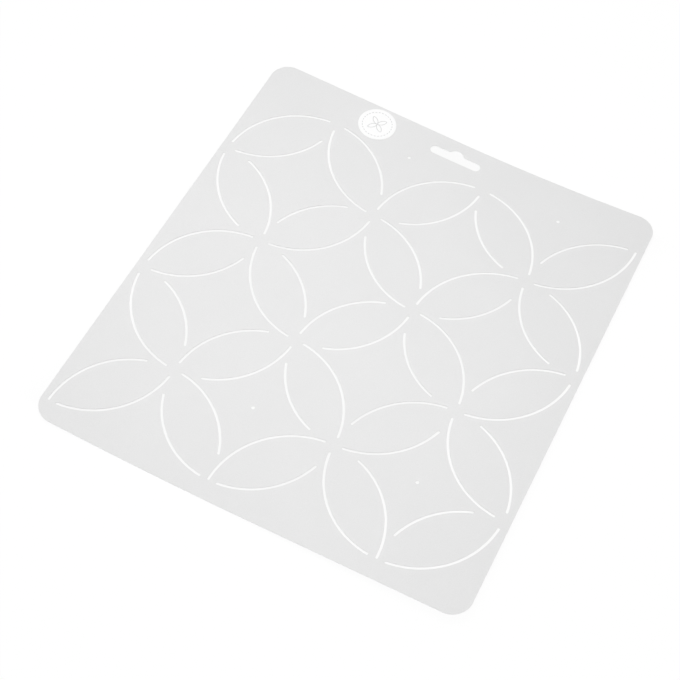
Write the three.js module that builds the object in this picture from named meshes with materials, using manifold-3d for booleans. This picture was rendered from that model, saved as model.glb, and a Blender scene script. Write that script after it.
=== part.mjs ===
// Quilting template: one sheet of frosted plastic, cut through with the slots of an interlocking circle
// pattern, with a round label stuck on it. Millimetres, +Z up. The origin lies under the middle of the
// sheet, on the surface that carries it, and +Y points to the edge with the hang slot.

import * as THREE from 'three';
import { mergeVertices } from 'three/addons/utils/BufferGeometryUtils.js';
import Module from 'manifold-3d';

// Pattern: circles of one pitch in radius, whose centres are every second point of a square grid
const pitch = 50;
const cells = 5;
const slotWidth = 1.35;
const hubRadius = 4.8; // solid plastic round a crossing, measured along the arcs to the slots' tips
const bridgeWidth = 4.2; // plastic between the tip of a held-back slot and the slot beside it
const pinHoleDiameter = 2;

// Sheet
const sheetThickness = 0.3;
const sideMargin = 4.5;
const bottomMargin = 11.3;
const cornerRadius = 12;

// Bow: the sheet lies along one line through its middle, bends up on both sides of it and stays flat
// further out, in two wings
const bendRadius = 1020;
const wingAngle = 2.87; // degrees from level
const bowTurn = -18.4; // degrees from +X to the direction that bends, seen from above
const bendFacets = 5; // an odd count, so that the middle facet lies level

// Hang slot: a round-ended slot with a round rise in the middle of its upper side
const hangSlotLength = 33.5;
const hangSlotHeight = 6;
const hangSlotDrop = 12.7; // from the sheet's top edge to the slot's middle line
const hangSlotClearance = 11; // from the slot down to the pattern
const hangHoleDiameter = 10;
const hangHoleStand = 3; // how far the round hole rises above the slot's upper side
const hangFillet = 1.5;

// Label: a printed face and the adhesive that holds it
const labelDiameter = 24;
const labelEdgeGap = 1.8; // from the sheet's top edge to the label's rim
const labelHangGap = 24.9; // from the hang slot's end to the label's rim
const adhesiveThickness = 0.03;
const faceThickness = 0.1;
const layerGap = 0.02;

// Straight steps in each round stretch
const slotSteps = 10;
const tipSteps = 4;
const pinHoleSteps = 12;
const cornerSteps = 8;
const hangSteps = 8;
const labelSteps = 48;

// Places that follow from the sizes
const patternSize = cells * pitch;
const topMargin = hangSlotDrop + hangSlotHeight / 2 + hangSlotClearance;
const sheetWidth = patternSize + 2 * sideMargin;
const sheetHeight = patternSize + bottomMargin + topMargin;
const topEdge = sheetHeight / 2;
const patternY = (bottomMargin - topMargin) / 2;
const labelX = -(hangSlotLength / 2 + labelHangGap + labelDiameter / 2);
const labelY = topEdge - labelEdgeGap - labelDiameter / 2;

const fullTurn = 2 * Math.PI;
const quarterTurn = Math.PI / 2;
const turn = THREE.MathUtils.degToRad(bowTurn);
const cutMargin = 5; // how far a cutting solid runs past what it cuts
const reach = Math.hypot(sheetWidth, sheetHeight) / 2 + cutMargin;
const wingTilt = THREE.MathUtils.degToRad(wingAngle);
const facetAngle = (2 * wingTilt) / (bendFacets + 1);

const wasm = await Module();
wasm.setup();

function toSolid(geometry) {
  geometry.deleteAttribute('normal');
  geometry.deleteAttribute('uv');
  const merged = mergeVertices(geometry);
  return new wasm.Manifold(new wasm.Mesh({
    numProp: 3,
    vertProperties: Float32Array.from(merged.attributes.position.array),
    triVerts: Uint32Array.from(merged.index.array),
  }));
}

function toMesh(name, solid, material) {
  const { vertProperties, triVerts } = solid.getMesh();
  const geometry = new THREE.BufferGeometry();
  geometry.setAttribute('position', new THREE.BufferAttribute(vertProperties, 3));
  geometry.setIndex(new THREE.BufferAttribute(triVerts, 1));
  geometry.computeVertexNormals();
  const mesh = new THREE.Mesh(geometry, material);
  mesh.name = name;
  return mesh;
}

// Points of an arc, without its last one, so that arcs can be chained into an outline
function arc(x, y, radius, from, to, steps, clockwise = false) {
  const curve = new THREE.EllipseCurve(x, y, radius, radius, from, to, clockwise);
  return curve.getPoints(steps).slice(0, -1);
}

// Section of the bow at a height above the underside. The facets of any two heights are parallel.
function bowLine(height) {
  const distance = bendRadius - height;
  const cornerDistance = distance / Math.cos(facetAngle / 2);
  const bend = Array.from({ length: bendFacets + 1 }, (_, corner) => {
    const angle = (corner - bendFacets / 2) * facetAngle;
    return new THREE.Vector2(
      cornerDistance * Math.sin(angle),
      bendRadius - cornerDistance * Math.cos(angle),
    );
  });
  const endX = distance * Math.sin(wingTilt) + reach * Math.cos(wingTilt);
  const endY = bendRadius - distance * Math.cos(wingTilt) + reach * Math.sin(wingTilt);
  return [new THREE.Vector2(-endX, endY), ...bend, new THREE.Vector2(endX, endY)];
}

// Endless bowed layer between two heights above the underside
function bowedLayer(low, high) {
  const section = new THREE.Shape([...bowLine(low), ...bowLine(high).reverse()]);
  const geometry = new THREE.ExtrudeGeometry(section, { depth: 2 * reach, bevelEnabled: false });
  geometry.rotateX(quarterTurn).translate(0, reach, 0).rotateZ(turn);
  return toSolid(geometry);
}

// Upright solid of an outline, taller than the bowed sheet
function prism(points) {
  const bowRise = bowLine(0)[0].y + sheetThickness;
  const settings = { depth: bowRise + 2 * cutMargin, bevelEnabled: false };
  const geometry = new THREE.ExtrudeGeometry(new THREE.Shape(points), settings);
  geometry.translate(0, 0, -cutMargin);
  return toSolid(geometry);
}

function sheetOutline() {
  const x = sheetWidth / 2 - cornerRadius;
  const y = sheetHeight / 2 - cornerRadius;
  const corners = [[x, y], [-x, y], [-x, -y], [x, -y]];
  return corners.flatMap(([cornerX, cornerY], index) => {
    const from = index * quarterTurn;
    return arc(cornerX, cornerY, cornerRadius, from, from + quarterTurn, cornerSteps);
  });
}

function circle(x, y, diameter, steps) {
  return arc(x, y, diameter / 2, 0, fullTurn, steps);
}

function hangSlotOutline() {
  const y = topEdge - hangSlotDrop;
  const endRadius = hangSlotHeight / 2;
  const endX = hangSlotLength / 2 - endRadius;
  const holeRadius = hangHoleDiameter / 2;
  const holeY = y + endRadius + hangHoleStand - holeRadius;
  const filletUp = holeRadius + hangFillet - hangHoleStand;
  const filletX = Math.sqrt((holeRadius + hangFillet) ** 2 - filletUp ** 2);
  const filletY = holeY + filletUp;
  const meet = Math.atan2(filletUp, filletX); // where the round hole runs into its fillet
  return [
    ...arc(endX, y, endRadius, -quarterTurn, quarterTurn, hangSteps),
    new THREE.Vector2(endX, y + endRadius),
    ...arc(filletX, filletY, hangFillet, -quarterTurn, Math.PI + meet, tipSteps, true),
    ...arc(0, holeY, holeRadius, meet, Math.PI - meet, hangSteps),
    ...arc(-filletX, filletY, hangFillet, -meet, -quarterTurn, tipSteps, true),
    new THREE.Vector2(-filletX, y + endRadius),
    ...arc(-endX, y, endRadius, quarterTurn, 3 * quarterTurn, hangSteps),
    new THREE.Vector2(-endX, y - endRadius),
  ];
}

// Grid points are counted from the pattern's upper left corner: circle centres have an even sum of
// column and row, and the crossings, where four circles touch, have an odd one.
function gridX(column) {
  return (column - cells / 2) * pitch;
}

function gridY(row) {
  return patternY + (cells / 2 - row) * pitch;
}

function onGrid(column, row) {
  return column >= 0 && column <= cells && row >= 0 && row <= cells;
}

// East, north, west and south on the grid, in the order of their angles
const headings = [[1, 0], [0, -1], [-1, 0], [0, 1]];
const north = 1;
const south = 3;

function nextQuarter(quarter) {
  return (quarter + 1) % headings.length;
}

// At a crossing two slots set out side by side in each heading. One starts at the hub and the other is
// held back, so that a bridge of plastic carries the petal between them. Which one it is goes by columns.
const mirroredRow = cells - 1;

function startsLeftSlot(column, row) {
  const mirrored = row === mirroredRow ? 1 : 0;
  return (Math.floor(column / 2) + mirrored) % 2 === 0;
}

// Upright slots run out to the pattern's lower edge, and at its upper right corner to the upper edge
function runsOut(column, row, heading) {
  const lowerEdge = row === cells && heading === north;
  const upperRightCorner = row === 0 && column === cells && heading === south;
  return lowerEdge || upperRightCorner;
}

// Angle along a circle from a crossing to the tip of a slot held back by the bridge. The neighbouring
// circle touches this one at the crossing, so a point at an angle a on this one lies sqrt(5 - 4 cos a)
// radii from the neighbour's centre.
const bridgeReach = 1 + (bridgeWidth + slotWidth / 2) / pitch;
const heldBackAngle = Math.acos((5 - bridgeReach ** 2) / 4);

// Angle from a crossing to the tip of one slot of the circle at a grid point, which bends left or right
function tipAngle(centreColumn, centreRow, nodeColumn, nodeRow, heading, bendsLeft) {
  const hasNeighbour = onGrid(2 * nodeColumn - centreColumn, 2 * nodeRow - centreRow);
  if (hasNeighbour && bendsLeft !== startsLeftSlot(nodeColumn, nodeRow)) {
    return heldBackAngle;
  }
  return runsOut(nodeColumn, nodeRow, heading) ? 0 : hubRadius / pitch;
}

// One slot: a quarter of the circle at a grid point, less its two ends
function slotOutline(column, row, quarter) {
  const next = nextQuarter(quarter);
  const [startAcross, startDown] = headings[quarter];
  const [endAcross, endDown] = headings[next];
  const roundEnd = slotWidth / 2 / pitch;
  const startTip = tipAngle(column, row, column + startAcross, row + startDown, next, true);
  const endTip = tipAngle(column, row, column + endAcross, row + endDown, quarter, false);
  const from = quarter * quarterTurn + startTip + roundEnd;
  const to = (quarter + 1) * quarterTurn - endTip - roundEnd;
  const x = gridX(column);
  const y = gridY(row);
  const half = slotWidth / 2;
  const endX = x + pitch * Math.cos(to);
  const endY = y + pitch * Math.sin(to);
  const startX = x + pitch * Math.cos(from);
  const startY = y + pitch * Math.sin(from);
  return [
    ...arc(x, y, pitch + half, from, to, slotSteps),
    ...arc(endX, endY, half, to, to + Math.PI, tipSteps),
    ...arc(x, y, pitch - half, to, from, slotSteps, true),
    ...arc(startX, startY, half, from + Math.PI, from + fullTurn, tipSteps),
  ];
}

function patternOutlines() {
  const outlines = [];
  for (let column = 0; column <= cells; column += 1) {
    for (let row = column % 2; row <= cells; row += 2) {
      headings.forEach(([across, down], quarter) => {
        const [nextAcross, nextDown] = headings[nextQuarter(quarter)];
        if (onGrid(column + across + nextAcross, row + down + nextDown)) {
          outlines.push(slotOutline(column, row, quarter));
        }
      });
    }
  }
  return outlines;
}

// Holes for marking pins, at four of the circles' centres
const pinHoleColumns = [2, 4];
const pinHoleRows = [0, 4];

function pinHoleOutlines() {
  return pinHoleColumns.flatMap((column) => pinHoleRows.map(
    (row) => circle(gridX(column), gridY(row), pinHoleDiameter, pinHoleSteps),
  ));
}

function stencilSheet() {
  let sheet = bowedLayer(0, sheetThickness).intersect(prism(sheetOutline()));
  for (const outline of [hangSlotOutline(), ...pinHoleOutlines(), ...patternOutlines()]) {
    sheet = sheet.subtract(prism(outline));
  }
  const material = new THREE.MeshStandardMaterial({
    color: 0xe6e6e6,
    roughness: 0.5,
    metalness: 0,
    transparent: true,
    opacity: 0.85,
  });
  return toMesh('stencil_sheet', sheet, material);
}

function labelLayer(name, low, thickness, material) {
  const disc = prism(circle(labelX, labelY, labelDiameter, labelSteps));
  return toMesh(name, bowedLayer(low, low + thickness).intersect(disc), material);
}

function label() {
  const adhesiveLow = sheetThickness + layerGap;
  const faceLow = adhesiveLow + adhesiveThickness + layerGap;
  const adhesive = new THREE.MeshStandardMaterial({ color: 0xf2f1ea, roughness: 0.3, metalness: 0 });
  const face = new THREE.MeshStandardMaterial({ color: 0xfcfcfc, roughness: 0.45, metalness: 0 });
  const group = new THREE.Group();
  group.add(labelLayer('label_adhesive', adhesiveLow, adhesiveThickness, adhesive));
  group.add(labelLayer('label_face', faceLow, faceThickness, face));
  return group;
}

const template = new THREE.Group();
template.add(stencilSheet());
template.add(label());

export default template;
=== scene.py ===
"""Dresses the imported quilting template: a bowed sheet of frosted plastic with fine round-edged slots, and
a round paper label on its adhesive. Metres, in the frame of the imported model."""

import math

import bmesh
import bpy
from mathutils import Matrix, Vector
from mathutils.geometry import delaunay_2d_cdt
from mathutils.kdtree import KDTree


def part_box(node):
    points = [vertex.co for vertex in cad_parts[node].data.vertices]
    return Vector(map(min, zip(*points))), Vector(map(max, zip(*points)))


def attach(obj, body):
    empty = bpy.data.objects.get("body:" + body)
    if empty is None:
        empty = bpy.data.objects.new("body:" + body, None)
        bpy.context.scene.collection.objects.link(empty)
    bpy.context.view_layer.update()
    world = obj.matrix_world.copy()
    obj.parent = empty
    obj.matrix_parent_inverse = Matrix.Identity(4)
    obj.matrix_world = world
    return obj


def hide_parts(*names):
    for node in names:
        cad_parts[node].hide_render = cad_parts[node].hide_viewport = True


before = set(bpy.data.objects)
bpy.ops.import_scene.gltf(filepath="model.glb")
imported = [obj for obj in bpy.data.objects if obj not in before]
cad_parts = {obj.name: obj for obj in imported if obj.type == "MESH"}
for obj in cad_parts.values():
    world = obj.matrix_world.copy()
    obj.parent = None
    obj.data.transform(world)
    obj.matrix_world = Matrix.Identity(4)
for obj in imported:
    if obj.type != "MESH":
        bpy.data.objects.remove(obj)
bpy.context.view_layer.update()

MM = 0.001
QUARTER = math.pi / 2
TURN = 2 * math.pi

# Pattern of the sheet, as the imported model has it
PITCH = 50 * MM
CELLS = 5
SLOT_WIDTH = 1.35 * MM
HUB_RADIUS = 4.8 * MM
BRIDGE_WIDTH = 4.2 * MM
PIN_HOLE_DIAMETER = 2 * MM
PIN_HOLE_COLUMNS = (2, 4)
PIN_HOLE_ROWS = (0, 4)
BOTTOM_MARGIN = 11.3 * MM
CORNER_RADIUS = 12 * MM

# Hang slot
HANG_SLOT_LENGTH = 33.5 * MM
HANG_SLOT_HEIGHT = 6 * MM
HANG_SLOT_DROP = 12.7 * MM
HANG_HOLE_DIAMETER = 10 * MM
HANG_HOLE_STAND = 3 * MM
HANG_FILLET = 1.5 * MM

# Thickness and bow
SHEET_THICKNESS = 0.3 * MM
BEND_RADIUS = 1020 * MM
WING_TILT = math.radians(2.87)
BOW_TURN = math.radians(-18.4)

# Cut edges are rounded a little, and the sheet is meshed finely enough to bend smoothly
EDGE_ROUND = 0.06 * MM
EDGE_ROUND_STEPS = 3
GRID_STEP = 6 * MM
GRID_CLEARANCE = 2 * MM
STRAIGHT_STEP = 4 * MM
SLOT_STEPS = 40
TIP_STEPS = 10
PIN_HOLE_STEPS = 28
CORNER_STEPS = 28
HANG_STEPS = 24

# Slack for rounding, as a share of a step or in millimetres
SLACK = 1e-6

# Label: the layers touch, and their edges are softened
ADHESIVE_THICKNESS = 0.06 * MM
LABEL_THICKNESS = 0.11 * MM
ADHESIVE_DRAW_BACK = 0.05 * MM
ADHESIVE_ROUND = 0.02 * MM
LABEL_ROUND = 0.04 * MM
LABEL_STEPS = 160
LABEL_RINGS = 12

# Print on the label, in millimetres from its centre
PRINT_STROKE = 0.4
PRINT_SOFTNESS = 0.05
PRINT_TONE = 0.64
PETAL_RADIUS = 4.6
STITCH_RING_RADIUS = 9.4
STITCH_COUNT = 28
STITCH_SHARE = 0.6

# Surface detail, in features per metre, and the range that most of a noise lies in
PLASTIC_CLOUDS = 18
PLASTIC_GRAIN = 2400
CUT_MARKS = 5000
ADHESIVE_RIPPLE = 900
PAPER_FIBRE = 1800
NOISE_LOW = 0.3
NOISE_HIGH = 0.7

# Plastic: how much of its unevenness is grain rather than cloud, and how light enters it
GRAIN_SHARE = 0.8
PLASTIC_IOR = 1.49
PLASTIC_DEPTH = 0.1 * MM

# Camera
CAMERA_TARGET = Vector((-2.9, -20.45, 0)) * MM
CAMERA_DISTANCE = 813.1 * MM
CAMERA_AZIMUTH = math.radians(22.81)
CAMERA_ELEVATION = math.radians(58.0)
CAMERA_ROLL = math.radians(4.92)
CAMERA_LENS = 75.65
SENSOR_WIDTH = 36
CLIP_START = 0.01
CLIP_END = 20

# Light
WORLD_LIGHT = 0.54
KEY_PLACE = Vector((-0.06, 0.02, 0.6))
KEY_SIZE = 0.35
KEY_POWER = 1.9

# Floor: its own brightness to the eye in the open, and darkened as painted shade in the band along the bow
# that the sheet lies close to; the share of its brightness that a real shadow takes away; its tone in the
# light on the object
OPEN_FLOOR = 0.97
PAINTED_SHADE_FLOOR = 0.935
PAINTED_SHADE_HALF = 45 * MM
PAINTED_SHADE_FADE = 65 * MM
PAINTED_SHADE_END_INSET = 2 * MM
PAINTED_SHADE_END_FADE = 8 * MM
SHADOW_SHARE = 0.035
FLOOR_TONE = 0.8
FLOOR_HALF = 3.0
FLOOR_GAP = 0.05 * MM

# Places of the colour sockets on a mix node
MIX_FIRST = 6
MIX_SECOND = 7
MIX_RESULT = 2

# East, north, west and south on the pattern's grid of columns and rows, in the order of their angles
HEADINGS = ((1, 0), (0, -1), (-1, 0), (0, 1))
NORTH = 1
SOUTH = 3

# Angle at which a slot's tip keeps a bridge's width from the next circle, by the law of cosines in pitches:
# the circles have a radius of one, and their centres lie two apart
BRIDGE_REACH = 1 + (BRIDGE_WIDTH + SLOT_WIDTH / 2) / PITCH
HELD_BACK_ANGLE = math.acos((1 + 2**2 - BRIDGE_REACH**2) / (2 * 2))

sheet_low, sheet_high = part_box("stencil_sheet")
SHEET_WIDTH = sheet_high.x - sheet_low.x
SHEET_HEIGHT = sheet_high.y - sheet_low.y
TOP_EDGE = sheet_high.y
PATTERN_Y = sheet_low.y + BOTTOM_MARGIN + CELLS * PITCH / 2

label_low, label_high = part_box("label_face")
LABEL_CENTRE = (label_low + label_high) / 2
LABEL_RADIUS = (label_high.x - label_low.x) / 2
ADHESIVE_TOP = SHEET_THICKNESS + ADHESIVE_THICKNESS
LABEL_TOP = ADHESIVE_TOP + LABEL_THICKNESS


def bow_height(x, y):
    """Height of the sheet's underside over a point of the plan."""
    across = abs(x * math.cos(BOW_TURN) + y * math.sin(BOW_TURN))
    bend_half = BEND_RADIUS * math.sin(WING_TILT)
    if across < bend_half:
        return BEND_RADIUS - math.sqrt(BEND_RADIUS**2 - across**2)
    bend_rise = BEND_RADIUS * (1 - math.cos(WING_TILT))
    return bend_rise + (across - bend_half) * math.tan(WING_TILT)


def bowed(point, height):
    """A point of the plan at a height over the sheet's underside."""
    return Vector((point.x, point.y, bow_height(point.x, point.y) + height))


def arc(x, y, radius, start, end, steps, with_end=False):
    """Points of an arc, without its last one where the next stretch of an outline starts there."""
    count = steps + 1 if with_end else steps
    angles = [start + (end - start) * step / steps for step in range(count)]
    return [Vector((x + radius * math.cos(a), y + radius * math.sin(a))) for a in angles]


def line(start, end):
    """Points of a straight stretch without its last one, or none where its ends meet."""
    steps = math.ceil((end - start).length / STRAIGHT_STEP - SLACK)
    return [start.lerp(end, step / steps) for step in range(steps)]


def chain(arcs):
    """One closed outline out of whole arcs, with the straight stretches between them divided evenly."""
    points = []
    for index, stretch in enumerate(arcs):
        follower = arcs[(index + 1) % len(arcs)]
        points += stretch[:-1]
        points += line(stretch[-1], follower[0])
    return points


def sheet_outline(inset):
    x = SHEET_WIDTH / 2 - CORNER_RADIUS
    y = SHEET_HEIGHT / 2 - CORNER_RADIUS
    radius = CORNER_RADIUS - inset
    corners = [(x, y), (-x, y), (-x, -y), (x, -y)]
    arcs = []
    for index, corner in enumerate(corners):
        arcs.append(arc(*corner, radius, index * QUARTER, (index + 1) * QUARTER, CORNER_STEPS, True))
    return chain(arcs)


def hang_slot_outline(inset):
    """A long slot with a round rise in the middle of its upper side, and fillets where they meet."""
    y = TOP_EDGE - HANG_SLOT_DROP
    end_radius = HANG_SLOT_HEIGHT / 2
    end_x = HANG_SLOT_LENGTH / 2 - end_radius
    hole_radius = HANG_HOLE_DIAMETER / 2
    hole_y = y + end_radius + HANG_HOLE_STAND - hole_radius
    fillet_up = hole_radius + HANG_FILLET - HANG_HOLE_STAND
    fillet_x = math.sqrt((hole_radius + HANG_FILLET) ** 2 - fillet_up**2)
    fillet_y = hole_y + fillet_up
    meet = math.atan2(fillet_up, fillet_x)
    fillet = HANG_FILLET - inset
    return chain(
        [
            arc(end_x, y, end_radius + inset, -QUARTER, QUARTER, HANG_STEPS, True),
            arc(fillet_x, fillet_y, fillet, 3 * QUARTER, math.pi + meet, TIP_STEPS, True),
            arc(0, hole_y, hole_radius + inset, meet, math.pi - meet, HANG_STEPS, True),
            arc(-fillet_x, fillet_y, fillet, -meet, -QUARTER, TIP_STEPS, True),
            arc(-end_x, y, end_radius + inset, QUARTER, 3 * QUARTER, HANG_STEPS, True),
        ]
    )


def grid_point(column, row):
    return (column - CELLS / 2) * PITCH, PATTERN_Y + (CELLS / 2 - row) * PITCH


def on_grid(column, row):
    return 0 <= column <= CELLS and 0 <= row <= CELLS


def starts_left_slot(column, row):
    """Whether the slot that bends left is the one that starts at this crossing's hub."""
    mirrored = 1 if row == CELLS - 1 else 0
    return (column // 2 + mirrored) % 2 == 0


def tip_angle(centre, crossing, heading, bends_left):
    """Angle from a crossing to the tip of a slot that leaves it."""
    column, row = crossing
    has_neighbour = on_grid(2 * column - centre[0], 2 * row - centre[1])
    if has_neighbour and bends_left != starts_left_slot(column, row):
        return HELD_BACK_ANGLE
    lower_edge = row == CELLS and heading == NORTH
    upper_right_corner = row == 0 and column == CELLS and heading == SOUTH
    return 0 if lower_edge or upper_right_corner else HUB_RADIUS / PITCH


def slot_outline(centre, quarter, inset):
    """One slot: a quarter of the circle at a grid point, less its two ends."""
    column, row = centre
    following = (quarter + 1) % len(HEADINGS)
    first = (column + HEADINGS[quarter][0], row + HEADINGS[quarter][1])
    second = (column + HEADINGS[following][0], row + HEADINGS[following][1])
    round_end = SLOT_WIDTH / 2 / PITCH
    start = quarter * QUARTER + tip_angle(centre, first, following, True) + round_end
    end = (quarter + 1) * QUARTER - tip_angle(centre, second, quarter, False) - round_end
    x, y = grid_point(column, row)
    half = SLOT_WIDTH / 2 + inset
    start_tip = (x + PITCH * math.cos(start), y + PITCH * math.sin(start))
    end_tip = (x + PITCH * math.cos(end), y + PITCH * math.sin(end))
    return (
        arc(x, y, PITCH + half, start, end, SLOT_STEPS)
        + arc(*end_tip, half, end, end + math.pi, TIP_STEPS)
        + arc(x, y, PITCH - half, end, start, SLOT_STEPS)
        + arc(*start_tip, half, start + math.pi, start + TURN, TIP_STEPS)
    )


def pattern_slots():
    """Every slot of the pattern, as the grid point of its circle and the quarter that it cuts."""
    slots = []
    for column in range(CELLS + 1):
        for row in range(column % 2, CELLS + 1, 2):
            for quarter, (across, down) in enumerate(HEADINGS):
                next_across, next_down = HEADINGS[(quarter + 1) % len(HEADINGS)]
                if on_grid(column + across + next_across, row + down + next_down):
                    slots.append(((column, row), quarter))
    return slots


def sheet_loops(inset):
    """The sheet's outline and all its cut-outs, with the edges drawn back into the plastic by an inset."""
    loops = [sheet_outline(inset), hang_slot_outline(inset)]
    for column in PIN_HOLE_COLUMNS:
        for row in PIN_HOLE_ROWS:
            radius = PIN_HOLE_DIAMETER / 2 + inset
            loops.append(arc(*grid_point(column, row), radius, 0, TURN, PIN_HOLE_STEPS))
    loops += [slot_outline(centre, quarter, inset) for centre, quarter in pattern_slots()]
    return loops


def loop_edges(loops):
    """Neighbouring points of each closed loop, as their places in the row of all the loops' points."""
    edges = []
    first = 0
    for loop in loops:
        count = len(loop)
        edges += [(first + i, first + (i + 1) % count) for i in range(count)]
        first += count
    return edges


def inner_grid(edge_points):
    """Points of a grid along and across the bow that lie clear of every edge."""
    tree = KDTree(len(edge_points))
    for index, point in enumerate(edge_points):
        tree.insert(point.to_3d(), index)
    tree.balance()
    turn = Matrix.Rotation(BOW_TURN, 2)
    reach = math.hypot(SHEET_WIDTH, SHEET_HEIGHT) / 2
    steps = int(reach / GRID_STEP)
    points = []
    for across in range(-steps, steps + 1):
        for along in range(-steps, steps + 1):
            point = turn @ (Vector((across, along)) * GRID_STEP)
            inside = abs(point.x) < SHEET_WIDTH / 2 and abs(point.y) < SHEET_HEIGHT / 2
            _, _, edge_distance = tree.find(point.to_3d())
            if inside and edge_distance > GRID_CLEARANCE:
                points.append(point)
    return points


def fill_loops(loops):
    """Points and triangles of the flat face inside the first loop and outside the others, and where the
    loops' own points are among them. The filling is done in millimetres."""
    rings = []
    points = []
    for loop in loops:
        rings.append(list(range(len(points), len(points) + len(loop))))
        points += loop
    edge_count = len(points)
    points += inner_grid(points)
    scaled = [point / MM for point in points]
    inside_loops = 1
    filled = delaunay_2d_cdt(scaled, [], rings, inside_loops, SLACK)
    places, _, triangles, point_sources, _, loop_sources = filled
    index_of = {sources[0]: index for index, sources in enumerate(point_sources) if sources}
    edge = [index_of[i] for i in range(edge_count)]
    in_first_loop_only = [0]
    faces = [face for face, loops in zip(triangles, loop_sources) if list(loops) == in_first_loop_only]
    return [place * MM for place in places], faces, edge


def edge_profile():
    """Inset and height of each ring of points on a cut edge, from the upper face to the lower one."""
    profile = []
    for step in range(EDGE_ROUND_STEPS + 1):
        angle = QUARTER * step / EDGE_ROUND_STEPS
        inset = EDGE_ROUND * (1 - math.sin(angle))
        profile.append((inset, SHEET_THICKNESS - EDGE_ROUND * (1 - math.cos(angle))))
    return profile + [(inset, SHEET_THICKNESS - height) for inset, height in reversed(profile)]


def finish_mesh(bm, name):
    """Turns a bmesh into a smooth mesh with outward normals and no loose points."""
    loose = [vert for vert in bm.verts if not vert.link_faces]
    bmesh.ops.delete(bm, geom=loose, context="VERTS")
    bmesh.ops.recalc_face_normals(bm, faces=bm.faces)
    for face in bm.faces:
        face.smooth = True
    mesh = bpy.data.meshes.new(name)
    bm.to_mesh(mesh)
    bm.free()
    return mesh


def new_piece(name, bm, materials, node):
    """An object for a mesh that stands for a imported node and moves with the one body."""
    mesh = finish_mesh(bm, name)
    for material in materials:
        mesh.materials.append(material)
    piece = bpy.data.objects.new(name, mesh)
    bpy.context.scene.collection.objects.link(piece)
    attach(piece, "root")
    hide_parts(node)


def make_sheet(face_material, edge_material):
    """Two bowed faces with every cut-out in them, joined by rounded walls of the second material."""
    materials = (face_material, edge_material)
    profile = edge_profile()
    rings = [sheet_loops(inset) for inset, _ in profile]
    places, faces, edge = fill_loops(rings[0])
    bm = bmesh.new()
    upper = [bm.verts.new(bowed(place, SHEET_THICKNESS)) for place in places]
    lower = [bm.verts.new(bowed(place, 0)) for place in places]
    for face in faces:
        bm.faces.new([upper[i] for i in face])
        bm.faces.new([lower[i] for i in reversed(face)])
    walls = [[upper[i] for i in edge]]
    for (_, height), loops in list(zip(profile, rings))[1:-1]:
        walls.append([bm.verts.new(bowed(point, height)) for loop in loops for point in loop])
    walls.append([lower[i] for i in edge])
    for here, there in loop_edges(rings[0]):
        for above, below in zip(walls, walls[1:]):
            wall = bm.faces.new((above[here], above[there], below[there], below[here]))
            wall.material_index = materials.index(edge_material)
        for rim in (walls[0], walls[-1]):
            bm.edges.get((rim[here], rim[there])).smooth = False
    new_piece("frosted_sheet", bm, materials, "stencil_sheet")


def make_disc(name, material, node, radius, low, high, edge_round):
    """A round layer of the label between two heights, bowed with the sheet under it."""
    profile = [(radius * ring / LABEL_RINGS, high) for ring in range(1, LABEL_RINGS)]
    profile.append((radius - edge_round, high))
    profile.append((radius, high - edge_round))
    profile.append((radius, low))
    bm = bmesh.new()
    rings = []
    for distance, height in profile:
        points = arc(LABEL_CENTRE.x, LABEL_CENTRE.y, distance, 0, TURN, LABEL_STEPS)
        rings.append([bm.verts.new(bowed(point, height)) for point in points])
    top_edge, _, bottom_edge = rings[-3:]
    top = bm.verts.new(bowed(LABEL_CENTRE, high))
    bottom = bm.verts.new(bowed(LABEL_CENTRE, low))
    for i in range(LABEL_STEPS):
        j = (i + 1) % LABEL_STEPS
        bm.faces.new((top, rings[0][i], rings[0][j]))
        for inner, outer in zip(rings, rings[1:]):
            bm.faces.new((inner[i], outer[i], outer[j], inner[j]))
        bm.faces.new((bottom, bottom_edge[j], bottom_edge[i]))
        for ring in (top_edge, bottom_edge):
            bm.edges.get((ring[i], ring[j])).smooth = False
    new_piece(name, bm, (material,), node)


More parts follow.
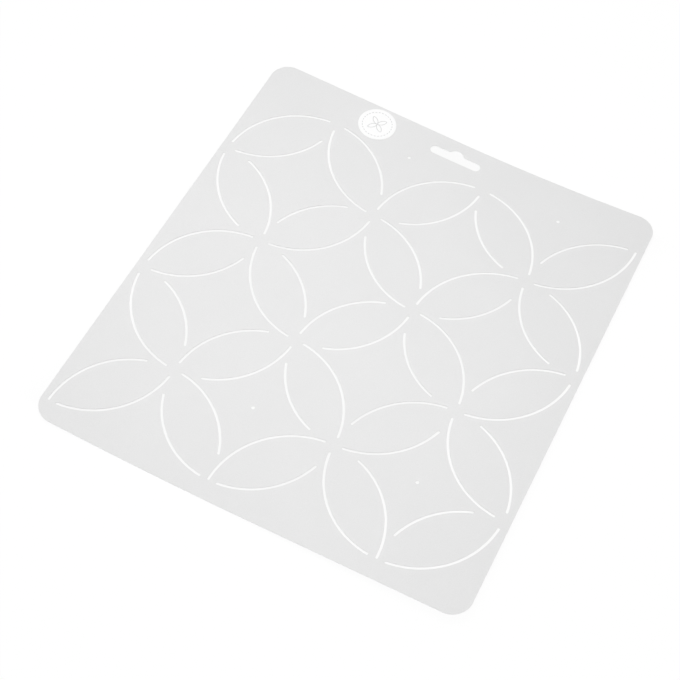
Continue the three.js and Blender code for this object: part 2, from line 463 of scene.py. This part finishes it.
class Nodes:
    """Short calls for building the nodes of a material or a world."""

    def __init__(self, owner):
        owner.use_nodes = True
        self.tree = owner.node_tree

    def put(self, socket, value):
        if isinstance(value, bpy.types.NodeSocket):
            self.tree.links.new(value, socket)
        else:
            socket.default_value = value

    def set(self, name, inputs):
        """Inputs of a node that is there already."""
        for key, value in inputs.items():
            self.put(self.tree.nodes[name].inputs[key], value)

    def add(self, kind, settings, inputs):
        """A new node's outputs."""
        node = self.tree.nodes.new(kind)
        for key, value in settings.items():
            setattr(node, key, value)
        for key, value in inputs.items():
            self.put(node.inputs[key], value)
        return node.outputs

    def math(self, operation, first, second=0.0):
        return self.add("ShaderNodeMath", {"operation": operation}, {0: first, 1: second})[0]

    def vector_value(self, operation, first, second):
        settings = {"operation": operation}
        return self.add("ShaderNodeVectorMath", settings, {0: first, 1: second})["Value"]

    def place(self):
        return self.add("ShaderNodeTexCoord", {}, {})["Object"]

    def parts(self, vector):
        return self.add("ShaderNodeSeparateXYZ", {}, {"Vector": vector})

    def noise(self, scale, detail, roughness=0.5):
        inputs = {"Vector": self.place(), "Scale": scale, "Detail": detail, "Roughness": roughness}
        return self.add("ShaderNodeTexNoise", {}, inputs)["Fac"]

    def spread(self, value, low, high, start=0.0, end=1.0):
        """A value from one range brought smoothly into another, held at its ends."""
        inputs = {"Value": value, "From Min": start, "From Max": end, "To Min": low, "To Max": high}
        return self.add("ShaderNodeMapRange", {"interpolation_type": "SMOOTHSTEP"}, inputs)["Result"]

    def vary(self, noise, low, high):
        """A noise brought into a range."""
        return self.spread(noise, low, high, NOISE_LOW, NOISE_HIGH)

    def mix(self, factor, first, second):
        colours = {"Factor": factor, MIX_FIRST: first, MIX_SECOND: second}
        return self.add("ShaderNodeMix", {"data_type": "RGBA"}, colours)[MIX_RESULT]

    def bump(self, height, strength, distance):
        inputs = {"Height": height, "Strength": strength, "Distance": distance}
        return self.add("ShaderNodeBump", {}, inputs)["Normal"]

    def shade(self, inputs):
        self.set("Principled BSDF", inputs)


def grey(level):
    return (level, level, level, 1)


def frosted_plastic():
    """Frosted polypropylene: milky and matt, with a fine pressed grain and a faint cloudiness."""
    material = bpy.data.materials.new("frosted_plastic")
    nodes = Nodes(material)
    cloud = nodes.noise(PLASTIC_CLOUDS, detail=3)
    grain = nodes.noise(PLASTIC_GRAIN, detail=2, roughness=0.6)
    cloud_part = nodes.math("MULTIPLY", cloud, 1 - GRAIN_SHARE)
    grain_part = nodes.math("MULTIPLY", grain, GRAIN_SHARE)
    tone = nodes.math("ADD", cloud_part, grain_part)
    nodes.shade(
        {
            "Base Color": nodes.mix(tone, grey(0.74), grey(0.87)),
            "Roughness": nodes.vary(grain, 0.42, 0.63),
            "IOR": PLASTIC_IOR,
            "Subsurface Weight": 1.0,
            "Subsurface Radius": (1.0, 1.0, 1.0),
            "Subsurface Scale": PLASTIC_DEPTH,
            "Normal": nodes.bump(grain, strength=0.6, distance=0.03 * MM),
        }
    )
    return material


def cut_edge():
    """The cut edges of the same plastic, whiter and a little smoother than its faces."""
    material = bpy.data.materials.new("cut_edge")
    nodes = Nodes(material)
    marks = nodes.noise(CUT_MARKS, detail=2)
    nodes.shade(
        {
            "Base Color": nodes.mix(marks, grey(0.82), grey(0.86)),
            "Roughness": nodes.vary(marks, 0.3, 0.45),
            "IOR": PLASTIC_IOR,
            "Subsurface Weight": 1.0,
            "Subsurface Radius": (1.0, 1.0, 1.0),
            "Subsurface Scale": PLASTIC_DEPTH,
            "Normal": nodes.bump(marks, strength=0.2, distance=0.02 * MM),
        }
    )
    return material


def adhesive():
    """Thin acrylic adhesive, slightly yellow and glossy at the label's rim."""
    material = bpy.data.materials.new("adhesive")
    nodes = Nodes(material)
    ripple = nodes.noise(ADHESIVE_RIPPLE, detail=2)
    nodes.shade(
        {
            "Base Color": nodes.mix(ripple, (0.86, 0.85, 0.8, 1), (0.9, 0.89, 0.85, 1)),
            "Roughness": nodes.vary(ripple, 0.22, 0.38),
            "IOR": 1.47,
            "Normal": nodes.bump(ripple, strength=0.2, distance=0.02 * MM),
        }
    )
    return material


def label_print(nodes):
    """Where the label is printed: a four-petal rosette inside a ring of stitches."""
    to_centre = (-LABEL_CENTRE.x / MM, -LABEL_CENTRE.y / MM, 0)
    flat_millimetres = (1 / MM, 1 / MM, 0)
    inputs = {"Vector": nodes.place(), "Location": to_centre, "Scale": flat_millimetres}
    spot = nodes.add("ShaderNodeMapping", {}, inputs)["Vector"]

    def stroke(centre, radius):
        off_line = nodes.math("SUBTRACT", nodes.vector_value("DISTANCE", spot, centre), radius)
        edge = PRINT_STROKE / 2
        return nodes.spread(
            nodes.math("ABSOLUTE", off_line), 1.0, 0.0, edge - PRINT_SOFTNESS, edge + PRINT_SOFTNESS
        )

    middle = (0, 0, 0)
    petals = 0.0
    for quarter in range(4):
        angle = quarter * QUARTER
        centre = (PETAL_RADIUS * math.cos(angle), PETAL_RADIUS * math.sin(angle), 0)
        petals = nodes.math("MAXIMUM", petals, stroke(centre, PETAL_RADIUS))
    petal_reach = math.sqrt(2) * PETAL_RADIUS
    within_reach = nodes.math("LESS_THAN", nodes.vector_value("DISTANCE", spot, middle), petal_reach)
    rosette = nodes.math("MULTIPLY", petals, within_reach)

    parts = nodes.parts(spot)
    turn = nodes.math("ARCTAN2", parts["Y"], parts["X"])
    along = nodes.math("FRACT", nodes.math("MULTIPLY", turn, STITCH_COUNT / TURN))
    stitches = nodes.math("LESS_THAN", along, STITCH_SHARE)
    ring = nodes.math("MULTIPLY", stroke(middle, STITCH_RING_RADIUS), stitches)
    return nodes.math("MAXIMUM", rosette, ring)


def label_paper():
    """Smooth white label paper with a faint fibre and a light grey print."""
    material = bpy.data.materials.new("label_paper")
    nodes = Nodes(material)
    fibre = nodes.noise(PAPER_FIBRE, detail=6, roughness=0.7)
    paper = nodes.mix(fibre, grey(0.975), grey(0.995))
    nodes.shade(
        {
            "Base Color": nodes.mix(label_print(nodes), paper, grey(PRINT_TONE)),
            "Roughness": nodes.vary(fibre, 0.5, 0.65),
            "IOR": 1.5,
            "Normal": nodes.bump(fibre, strength=0.15, distance=0.02 * MM),
        }
    )
    return material


def seen_directly(nodes):
    """One for rays from the camera, in gloss and through clear stuff, and zero for the object's light."""
    path = nodes.add("ShaderNodeLightPath", {}, {})
    through = nodes.math("MAXIMUM", path["Is Glossy Ray"], path["Is Transmission Ray"])
    return nodes.math("MAXIMUM", path["Is Camera Ray"], through)


def floor_glow_with_painted_shade(nodes):
    """How white the floor looks: darkened by painted shade in the band that the sheet lies close to."""
    across_bow = (math.cos(BOW_TURN), math.sin(BOW_TURN), 0)
    across = nodes.math("ABSOLUTE", nodes.vector_value("DOT_PRODUCT", nodes.place(), across_bow))
    # Painted shade: the floor's glow drops to a darker level in a band under the sheet, whatever the light
    # does
    painted_shade_band = nodes.spread(across, 1.0, 0.0, PAINTED_SHADE_HALF, PAINTED_SHADE_HALF + PAINTED_SHADE_FADE)
    along = nodes.math("ABSOLUTE", nodes.parts(nodes.place())["Y"])
    painted_shade_end = SHEET_HEIGHT / 2 - PAINTED_SHADE_END_INSET
    length = nodes.spread(along, 1.0, 0.0, painted_shade_end - PAINTED_SHADE_END_FADE, painted_shade_end)
    return nodes.spread(nodes.math("MULTIPLY", painted_shade_band, length), OPEN_FLOOR, PAINTED_SHADE_FLOOR)


def floor_material():
    """White floor: full white to the eye, with the shadow of what lies on it and a painted shade under the
    sheet.
    """
    material = bpy.data.materials.new("floor")
    nodes = Nodes(material)
    nodes.tree.nodes.remove(nodes.tree.nodes["Principled BSDF"])
    glow = nodes.add("ShaderNodeEmission", {}, {"Strength": floor_glow_with_painted_shade(nodes)})[0]
    shaded = nodes.add("ShaderNodeBsdfDiffuse", {}, {"Color": grey(SHADOW_SHARE)})[0]
    seen = nodes.add("ShaderNodeAddShader", {}, {0: glow, 1: shaded})[0]
    plain = nodes.add("ShaderNodeBsdfDiffuse", {}, {"Color": grey(FLOOR_TONE)})[0]
    either = nodes.add("ShaderNodeMixShader", {}, {0: seen_directly(nodes), 1: plain, 2: seen})[0]
    nodes.set("Material Output", {"Surface": either})
    return material


def make_floor():
    half = FLOOR_HALF
    corners = [(-half, -half), (half, -half), (half, half), (-half, half)]
    mesh = bpy.data.meshes.new("floor")
    mesh.from_pydata([(x, y, -FLOOR_GAP) for x, y in corners], [], [(0, 1, 2, 3)])
    mesh.materials.append(floor_material())
    floor = bpy.data.objects.new("floor", mesh)
    bpy.context.scene.collection.objects.link(floor)


def make_world():
    """White surroundings, with an even soft light for the object."""
    world = bpy.data.worlds.new("studio")
    bpy.context.scene.world = world
    nodes = Nodes(world)
    strength = nodes.spread(seen_directly(nodes), WORLD_LIGHT, 1.0)
    nodes.set("Background", {"Color": grey(1), "Strength": strength})


def make_key_light():
    data = bpy.data.lights.new("key", "AREA")
    data.shape = "SQUARE"
    data.size = KEY_SIZE
    data.energy = KEY_POWER
    light = bpy.data.objects.new("key", data)
    light.location = KEY_PLACE
    light.rotation_euler = (-KEY_PLACE).to_track_quat("-Z", "Y").to_euler()
    bpy.context.scene.collection.objects.link(light)


def make_camera():
    data = bpy.data.cameras.new("camera")
    data.lens = CAMERA_LENS
    data.sensor_width = SENSOR_WIDTH
    data.clip_start = CLIP_START
    data.clip_end = CLIP_END
    camera = bpy.data.objects.new("camera", data)
    level = math.cos(CAMERA_ELEVATION)
    back = Vector(
        (
            level * math.sin(CAMERA_AZIMUTH),
            -level * math.cos(CAMERA_AZIMUTH),
            math.sin(CAMERA_ELEVATION),
        )
    )
    turn = (-back).to_track_quat("-Z", "Y").to_matrix()
    roll = Matrix.Rotation(CAMERA_ROLL, 3, "Z")
    place = CAMERA_TARGET + back * CAMERA_DISTANCE
    camera.matrix_world = Matrix.Translation(place) @ (turn @ roll).to_4x4()
    bpy.context.scene.collection.objects.link(camera)
    bpy.context.scene.camera = camera


make_camera()
make_world()
make_floor()
make_key_light()

make_sheet(frosted_plastic(), cut_edge())
make_disc(
    "adhesive_coat",
    adhesive(),
    node="label_adhesive",
    radius=LABEL_RADIUS - ADHESIVE_DRAW_BACK,
    low=SHEET_THICKNESS,
    high=ADHESIVE_TOP,
    edge_round=ADHESIVE_ROUND,
)
make_disc(
    "round_label",
    label_paper(),
    node="label_face",
    radius=LABEL_RADIUS,
    low=ADHESIVE_TOP,
    high=LABEL_TOP,
    edge_round=LABEL_ROUND,
)

bpy.context.scene.view_settings.view_transform = "Standard"
